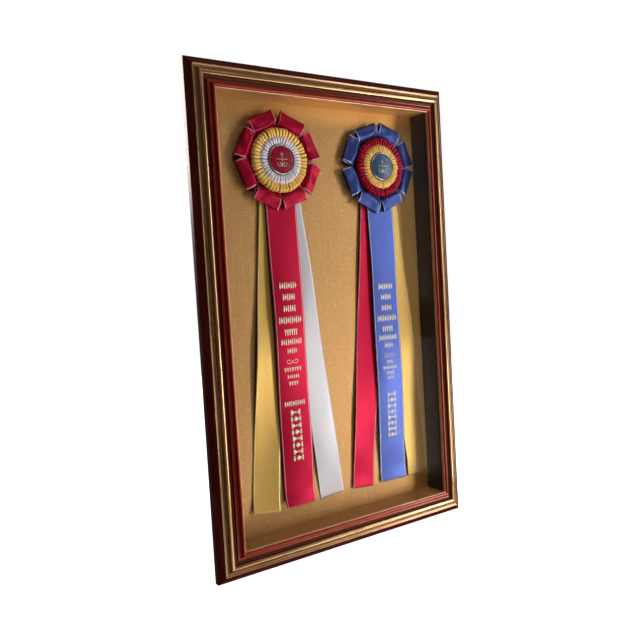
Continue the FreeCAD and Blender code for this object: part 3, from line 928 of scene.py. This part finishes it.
# rows of ornament: distance from the rosette's centre, width, height, pattern, all millimetres
ORNAMENT = {
    "red": [(203, 34, 11.0, "lozenge"), (222, 25, 11.0, "lozenge"), (241, 25, 11.0, "lozenge"),
            (260, 45, 11.5, "lozenge"), (280, 26, 10.0, "chevron"), (296, 42, 10.0, "lozenge"),
            (311, 20, 9.0, "lozenge"), (328, 24, 6.5, "scroll"), (342, 34, 6.5, "chevron"),
            (354, 24, 6.5, "lozenge"), (365.5, 19, 6.5, "chevron"), (399, 40, 9.0, "lozenge")],
    "blue": [(213.5, 34, 11.0, "lozenge"), (232.5, 25, 11.0, "lozenge"), (252, 25, 11.0, "lozenge"),
             (271, 45, 11.5, "lozenge"), (290.5, 25, 10.0, "chevron"), (306, 42, 10.0, "lozenge"),
             (320.5, 20, 9.0, "lozenge"), (338, 24, 6.5, "scroll"), (351, 15, 6.0, "chevron"),
             (361, 32, 6.0, "lozenge"), (371, 19, 6.0, "chevron"), (380.5, 17, 6.0, "lozenge")],
}
# the tall panel of ornament near the hem: start and end from the rosette's centre
PANEL = {"red": (409, 497), "blue": (405, 491)}
PANEL_WIDTH = 19 * MM


def build_ornament(rosette, ribbon, material):
    sheet = FoilSheet(ribbon)
    for along, width, tall, pattern in ORNAMENT[rosette]:
        along, width, tall = along * MM, width * MM, tall * MM
        if pattern == "lozenge":
            band_of_lozenges(sheet, along, width, tall, 4.0 * MM)
        elif pattern == "chevron":
            band_of_chevrons(sheet, along, width, tall, 4.6 * MM)
        else:
            scroll(sheet, along, tall * 1.1, 1)
            scroll(sheet, along, tall * 1.1, -1)
            sheet.dot(0, along, 1.0 * MM)
    start, end = (c * MM for c in PANEL[rosette])
    count = 8
    pitch = (end - start) / count
    half = PANEL_WIDTH / 2
    for k in range(count):
        along = start + pitch * (k + 0.5)
        tall = pitch * 0.80
        if k % 2:  # a broad lozenge between two posts
            sheet.diamond(0, along, PANEL_WIDTH * 0.62, tall)
            for s in (-1, 1):
                sheet.bar(s * (half - 1.6 * MM), along, 3.0 * MM, tall)
        else:  # two broad bars joined by a waist
            for s in (-1, 1):
                sheet.bar(s * half * 0.55, along, half * 0.62, tall * 0.44)
                sheet.bar(s * half * 0.78, along, half * 0.40, tall)
            sheet.dot(0, along, 1.7 * MM)
    sheet.finish(rosette + "_foil_ornament", material, 0.06 * MM)


# ================================================================ petals
PETALS = 8
LOOP_PATH = [  # radius and y along one loop, from the back root round the outer fold to the front root
    (30, 25.8), (46, 25.7), (60, 24.8), (69, 23.0), (74.4, 21.0), (76.6, 19.6), (76.5, 18.0),
    (73.5, 16.6), (66, 14.6), (60, 13.6), (56.6, 14.6), (53.6, 17.6), (49, 20.4), (41, 21.4), (30, 21.9)]
WIDTH_AT = [(30, 13.0), (44, 18.5), (52, 22.0), (58, 23.6), (65, 24.6), (80, 24.9)]  # half width by radius


def along_path(path, t):
    """A Catmull-Rom curve through the path's points, t from 0 to 1."""
    spot = t * (len(path) - 1)
    k = min(int(spot), len(path) - 2)
    f = spot - k
    p = [path[max(0, min(len(path) - 1, k + d))] for d in (-1, 0, 1, 2)]
    return tuple(
        0.5 * (2 * b + (c - a) * f + (2 * a - 5 * b + 4 * c - d) * f * f + (3 * b - a - 3 * c + d) * f ** 3)
        for a, b, c, d in zip(*p))


def width_at(radius):
    for (r0, w0), (r1, w1) in zip(WIDTH_AT, WIDTH_AT[1:]):
        if radius <= r1:
            return w0 + (w1 - w0) * max(0.0, (radius - r0) / (r1 - r0))
    return WIDTH_AT[-1][1]


def build_petals(rosette, finish):
    """Eight satin loops, each folded over at its square outer end."""
    _, _, (x0, z0) = face_on(rosette + "_button_shell")
    rng = random.Random(SEED + len(rosette))
    rows, columns = 56, 22
    points, faces, uvs = [], [], []
    for k in range(PETALS):
        angle = 2 * math.pi * (k + 0.5) / PETALS + math.radians(rng.uniform(-2.2, 2.2))
        out = Vector((math.cos(angle), 0, math.sin(angle)))
        side = Vector((-out.z, 0, out.x))
        stretch = rng.uniform(0.975, 1.015)
        rise = rng.uniform(-1.3, 1.0)
        skew = rng.uniform(-1.6, 1.6)
        roll = rng.uniform(-1.8, 1.8)
        flare = rng.uniform(0.8, 2.2)
        dent = rng.uniform(-0.5, 1.4)

        def station(i, j):
            t, s = i / rows, 2 * j / columns - 1
            radius, y = along_path(LOOP_PATH, t)
            front = smoothstep(0.30, 0.55, t)
            outer = smoothstep(50, 76, radius)
            radius_here = radius * (1 + (stretch - 1) * outer)
            radius_here += outer * (flare * s * s + skew * s) * (0.4 + 0.6 * front)
            half = width_at(radius)
            lateral = half * (s - 0.02 * s ** 3)
            slack = max(0.0, 24.6 ** 2 - half ** 2) ** 0.5
            fall = 0.42 * slack * abs(s) ** 2.6 * front
            puff = front * outer * (1 - outer) * 4
            y_here = y + fall * 0.8 - rise * front * outer + roll * s * outer * front * 0.9
            y_here += dent * puff * math.cos(math.pi * s * 0.5)
            crumple = noise.noise(Vector((s * 1.6 + k * 7.3, t * 6.0, SEED * 1.0 + len(rosette))))
            y_here += crumple * 1.5 * front * smoothstep(48, 58, radius)
            y_here = min(y_here, 26.6)
            place = out * (radius_here * MM) + side * (lateral * MM)
            return Vector((x0 + place.x, y_here * MM, z0 + place.z))

        def cloth_uv(i, j):
            return (j / columns, i / rows * 0.118 + k * 0.13)

        new, quads, pairs = sheet_grid(rows, columns, station, cloth_uv)
        base = len(points)
        points += new
        faces += [[v + base for v in quad] for quad in quads]
        uvs += pairs
    piece = make_piece(rosette + "_satin_petals", points, faces, [finish], uvs=uvs, angle=60)
    thicken(piece, RIBBON_THICK)
    settle(piece, rosette + "_petals")


# ================================================================ pleated rings
PLEAT_SECTION = [  # one pleat: share of the pitch, height; the rest of the pitch is the open crease
    (0.08, 0.02), (0.11, 0.35), (0.17, 0.68), (0.30, 0.90), (0.50, 1.02), (0.70, 1.08), (0.84, 1.04),
    (0.91, 0.88), (0.94, 0.60), (0.95, 0.30), (0.96, 0.02)]
PLEAT_RINGS = {  # number of pleats, seed, and (radius, y, pleat depth) outward and round the edge
    "outer": (48, 11, [(30, 16.4, 0.8), (36, 15.4, 2.2), (41, 14.8, 2.9), (46, 14.4, 3.2), (48.9, 14.8, 3.2),
                       (50.2, 16.2, 2.8), (50.5, 18.0, 2.3), (50.2, 20.2, 1.7), (49.0, 22.0, 0.9)]),
    "inner": (40, 23, [(23.6, 14.2, 0.6), (25.8, 13.0, 1.8), (29.5, 12.4, 2.4), (33.5, 12.3, 2.6),
                       (36.0, 12.9, 2.5), (37.2, 14.0, 2.0), (37.4, 15.0, 1.4), (36.6, 15.8, 0.6)]),
}


def build_pleats(rosette, ring, order, finish):
    """A ring of fine knife pleats; order is the rosette's place in the row, so that rings differ."""
    count, seed, profile = PLEAT_RINGS[ring]
    seed += order
    node = "_".join((rosette, ring, "pleats"))
    _, _, (x0, z0) = face_on(node)
    rng = random.Random(seed)
    jitter = [rng.uniform(-0.13, 0.13) for _ in range(count)]
    swell = [rng.uniform(0.72, 1.2) for _ in range(count)]
    reach = [rng.uniform(-0.28, 0.28) for _ in range(count)]
    steps = len(PLEAT_SECTION)
    rows = 22

    def station(i, j):
        k, n = divmod(j % (count * steps), steps)
        share, height = PLEAT_SECTION[n]
        t = i / rows
        radius, y = along_path([(r, y) for r, y, _ in profile], t)
        depth = along_path([(d, 0) for _, _, d in profile], t)[0]
        turn = 2 * math.pi * (k + share + jitter[k] * math.sin(math.pi * min(1.0, share))) / count
        slant = 0.02 * math.sin(k * 1.7 + seed) * t
        lift = height * swell[k] * depth
        edge = smoothstep(0.45, 0.62, t)
        radius += reach[k] * edge + lift * edge * 0.8
        y -= lift * (1 - edge * 0.85)
        return Vector((x0 + radius * MM * math.cos(turn + slant), y * MM, z0 + radius * MM * math.sin(turn + slant)))

    around = count * steps

    def cloth_uv(i, j):
        return (0.06 + 0.88 * i / rows, j / around * 0.42)

    points, faces, uvs = sheet_grid(rows, around, station, cloth_uv, wrap=True)
    piece = make_piece("_".join((rosette, ring, "ring")), points, faces, [finish], uvs=uvs, angle=32)
    # how deep each point lies in its fold, which the satin turns into painted shade
    layer = piece.data.attributes.new("crease", "FLOAT", "POINT")
    layer.data.foreach_set("value", [max(0.0, 1 - h) for _, h in PLEAT_SECTION] * (count * (rows + 1)))
    thicken(piece, 0.18 * MM)
    settle(piece, node)


# ================================================================ buttons
def insert_finish(name, base, deep):
    """Printed disc under clear film."""
    mat = Finish(name)
    cloud = mat.noise((90, 90, 90), 3)
    colour = mat.blend(mat.remap(cloud, 0.3, 0.75, 0.0, 0.5), base, deep)
    return mat.finish({
        "Base Color": colour, "Roughness": mat.spread(cloud, 0.22, 0.32),
        "Specular IOR Level": 0.25, "Coat Weight": 0.04, "Coat Roughness": 0.2})


def build_button(rosette, metal, insert, gold):
    low, high, centre = face_on(rosette + "_button_shell")
    outer = (high[0] - low[0]) / 2
    front, back = low[1] + 0.6 * MM, high[1] + 1.0 * MM
    face = outer - 1.9 * MM
    rim = [
        (0, back), (outer - 1.6 * MM, back), (outer - 0.5 * MM, back - 0.3 * MM),
        (outer - 0.15 * MM, back - 1.2 * MM), (outer, front + 1.6 * MM), (outer - 0.2 * MM, front + 0.8 * MM),
        (outer - 0.8 * MM, front + 0.2 * MM), (outer - 1.3 * MM, front), (outer - 1.7 * MM, front + 0.25 * MM),
        (face, front + 0.8 * MM), (face - 0.2 * MM, front + 1.3 * MM), (0, front + 1.5 * MM)]
    shell = lathe(rosette + "_button_rim", rim, centre, [metal], 128)
    settle(shell, rosette + "_button_shell")
    dome = []
    for k in range(13):
        r = face * 0.99 * k / 12
        dome.append((r, front + 0.9 * MM - 1.0 * MM * (1 - (k / 12) ** 2)))
    dome.append((face * 0.99, front + 1.2 * MM))
    dome.append((0, front + 1.25 * MM))
    disc = lathe(rosette + "_button_face", dome, centre, [insert], 128)
    settle(disc, rosette + "_button_insert")
    build_emblem(rosette, centre, face, front, gold)


class DiscSheet(FoilSheet):
    """Foil on the button's domed face; across is +X and along is -Z."""

    def __init__(self, centre, face, front):
        self.centre, self.face, self.front = centre, face, front
        self.points, self.faces = [], []
        self.ribbon = self

    def at(self, across, along, proud=0.0):
        r = math.hypot(across, along) / self.face
        y = self.front + 0.9 * MM - 1.0 * MM * (1 - r * r) - 0.06 * MM
        return Vector((self.centre[0] + across, y, self.centre[1] - along))


def build_emblem(rosette, centre, face, front, gold):
    """A plain printed motif in thin gold line: a ringed wand, a row of dots and two pairs of curls."""
    sheet = DiscSheet(centre, face, front)
    line = 0.6 * MM
    ring = [2 * math.pi * k / 16 for k in range(17)]
    sheet.stroke([(1.7 * MM * math.sin(t), -8.6 * MM - 1.7 * MM * math.cos(t)) for t in ring], line)
    sheet.stroke([(0, -6.9 * MM), (0, 9.6 * MM)], line)
    for k in range(-5, 6):
        if k:
            sheet.dot(k * 1.9 * MM, -0.6 * MM + 0.35 * MM * (k % 2), 0.62 * MM)
    for s in (-1, 1):
        for reach, drop in ((4.6, 0.0), (9.6, 0.6)):
            curl = []
            for k in range(15):
                turn = math.radians(200 * k / 14)
                size = reach / 2 * (1 - 0.30 * k / 14)
                across = s * (reach / 2 - size * math.cos(turn)) * MM
                curl.append((across, (5.2 + drop + 1.25 * size * math.sin(turn)) * MM))
            sheet.stroke(curl, line)
    sheet.diamond(0, 10.6 * MM, 1.6 * MM, 2.2 * MM)
    sheet.finish(rosette + "_button_emblem", gold, 0.05 * MM)


ROSETTES = {
    "red": {"petals": "red", "outer": "gold", "inner": "white",
            "insert": ((0.27, 0.006, 0.028), (0.16, 0.003, 0.014))},
    "blue": {"petals": "blue", "outer": "red", "inner": "gold",
             "insert": ((0.005, 0.050, 0.125), (0.003, 0.030, 0.080))},
}


def build_rosettes():
    streamer_cloth = {colour: satin(colour, "streamer") for colour in SATIN}
    head_cloth = {colour: satin(colour, "head") for colour in SATIN}
    gold = foil()
    metal = plated("button_metal", (0.46, 0.45, 0.44), 0.24, (0.26, 0.25, 0.24))
    card = grainy("white_card", 700, 4, (0.66, 0.63, 0.56), (0.80, 0.78, 0.71), 0.75, 0.15, 0.0003)
    for order, (rosette, look) in enumerate(ROSETTES.items()):
        paint(rosette + "_backing_card", card)
        for side in ("left", "right", "centre"):
            ribbon = build_streamer(rosette, side, streamer_cloth)
        build_ornament(rosette, ribbon, gold)
        build_petals(rosette, head_cloth[look["petals"]])
        for ring in PLEAT_RINGS:
            build_pleats(rosette, ring, order, head_cloth[look[ring]])
        insert = insert_finish(rosette + "_insert", *look["insert"])
        build_button(rosette, metal, insert, gold)


# ================================================================ stage
FLOOR_HALF = 6.0
FLOOR_GAP = 0.2 * MM


def pale_floor():
    mat = Finish("pale_floor")
    grain = mat.noise((3, 3, 3), 3)
    base = mat.ramp(grain, [(0.3, (0.84, 0.84, 0.84)), (0.7, (0.88, 0.88, 0.88))])
    return mat.finish({"Base Color": base, "Roughness": 0.9, "Specular IOR Level": 0.1,
                       "Emission Color": (1, 1, 1), "Emission Strength": 0.95})


LIGHTS = {  # place, size, watts, colour; the last two light the back
    "overhead": ((0.10, -1.45, 1.85), (0.6, 0.5), 7, (1.0, 0.98, 0.96)),
    "window": ((1.00, -0.93, -0.02), (0.35, 0.5), 9, (1.0, 0.97, 0.94)),
    "window_top": ((1.15, -0.95, 0.70), (0.40, 0.7), 7, (1.0, 0.98, 0.96)),
    "below_front": ((0.10, -1.70, -1.30), (0.7, 0.7), 19, (1.0, 0.96, 0.92)),
    "below_right": ((1.00, -1.30, -0.90), (0.6, 0.6), 7, (1.0, 0.96, 0.92)),
    "kicker": ((1.70, -0.35, 1.50), (0.8, 0.8), 1, (0.95, 0.97, 1.0)),
    "behind_left": ((-1.10, 1.90, 1.30), (0.9, 0.9), 30, (1.0, 0.98, 0.96)),
    "behind_right": ((1.30, 2.00, 0.60), (0.9, 0.9), 22, (0.98, 0.99, 1.0)),
}


def soft_light(name, place, target, size, power, colour):
    data = bpy.data.lights.new(name, "AREA")
    data.shape = "RECTANGLE"
    data.size, data.size_y = size
    data.energy = power
    data.color = colour
    light = bpy.data.objects.new(name, data)
    light.location = place
    light.rotation_euler = (Vector(target) - Vector(place)).to_track_quat("-Z", "Y").to_euler()
    light.visible_camera = False
    bpy.context.scene.collection.objects.link(light)


# the camera stands to the left of the frame, level with its middle
CAMERA_PLACE = Vector((-0.666, -0.943, 0.453))
CAMERA_YAW, CAMERA_PITCH, CAMERA_ROLL = (math.radians(a) for a in (33.67, -3.33, -3.32))
CAMERA_LENS = 38.35


def build_camera():
    cos, sin = math.cos, math.sin
    ahead = Vector((sin(CAMERA_YAW) * cos(CAMERA_PITCH), cos(CAMERA_YAW) * cos(CAMERA_PITCH), sin(CAMERA_PITCH)))
    level = Vector((cos(CAMERA_YAW), -sin(CAMERA_YAW), 0))
    upright = level.cross(ahead)
    right = level * cos(CAMERA_ROLL) + upright * sin(CAMERA_ROLL)
    up = upright * cos(CAMERA_ROLL) - level * sin(CAMERA_ROLL)
    data = bpy.data.cameras.new("camera")
    data.sensor_width = 36
    data.lens = CAMERA_LENS
    data.clip_start = 0.01
    camera = bpy.data.objects.new("camera", data)
    turn = Matrix((right, up, -ahead)).transposed().to_4x4()
    camera.matrix_world = Matrix.Translation(CAMERA_PLACE) @ turn
    bpy.context.scene.collection.objects.link(camera)
    bpy.context.scene.camera = camera


def build_world():
    """White to look at, dimmer as a lamp so that gloss keeps its contrast."""
    world = Nodes(bpy.data.worlds.new("studio"))
    bpy.context.scene.world = world.owner
    direction = world.add("TexCoord").outputs["Generated"]
    parts = world.add("SeparateXYZ", {"Vector": direction})
    glow = world.ramp(world.maths("MULTIPLY_ADD", parts.outputs["Z"], 0.5, 0.5),
                      [(0.45, (0.02, 0.02, 0.022)), (0.6, (0.03, 0.03, 0.033)), (0.9, (0.16, 0.165, 0.18))])
    behind = world.remap(parts.outputs["Y"], 0.1, 0.7, 0.0, 0.10)
    grey = world.add("CombineColor", {"Red": behind, "Green": behind, "Blue": behind}).outputs[0]
    lamp = world.add("Background", {"Color": world.blend(1.0, glow, grey, "ADD"), "Strength": 0.6})
    white = world.add("Background", {"Color": (1, 1, 1), "Strength": 1.0})
    seen = world.add("LightPath").outputs["Is Camera Ray"]
    world.mix_shaders(seen, lamp, white, world.tree.nodes["World Output"])


def build_stage():
    size = FLOOR_HALF
    corners = [(-size, -size, 0), (size, -size, 0), (size, size, 0), (-size, size, 0)]
    floor = make_piece("floor", corners, [[0, 1, 2, 3]], [pale_floor()])
    floor.location.z = LOW[2] - FLOOR_GAP
    # the floor is there for the camera alone, so it neither blocks the low lights nor greys the gloss
    floor.visible_diffuse = False
    floor.visible_glossy = False
    floor.visible_shadow = False
    middle = (0.0, 0.0, 0.40)
    for name, (place, size, power, colour) in LIGHTS.items():
        soft_light(name, place, middle, size, power, colour)
    bpy.context.scene.view_settings.view_transform = "Standard"


build_frame()
build_box()
build_hardware()
build_rosettes()
build_camera()
build_world()
build_stage()
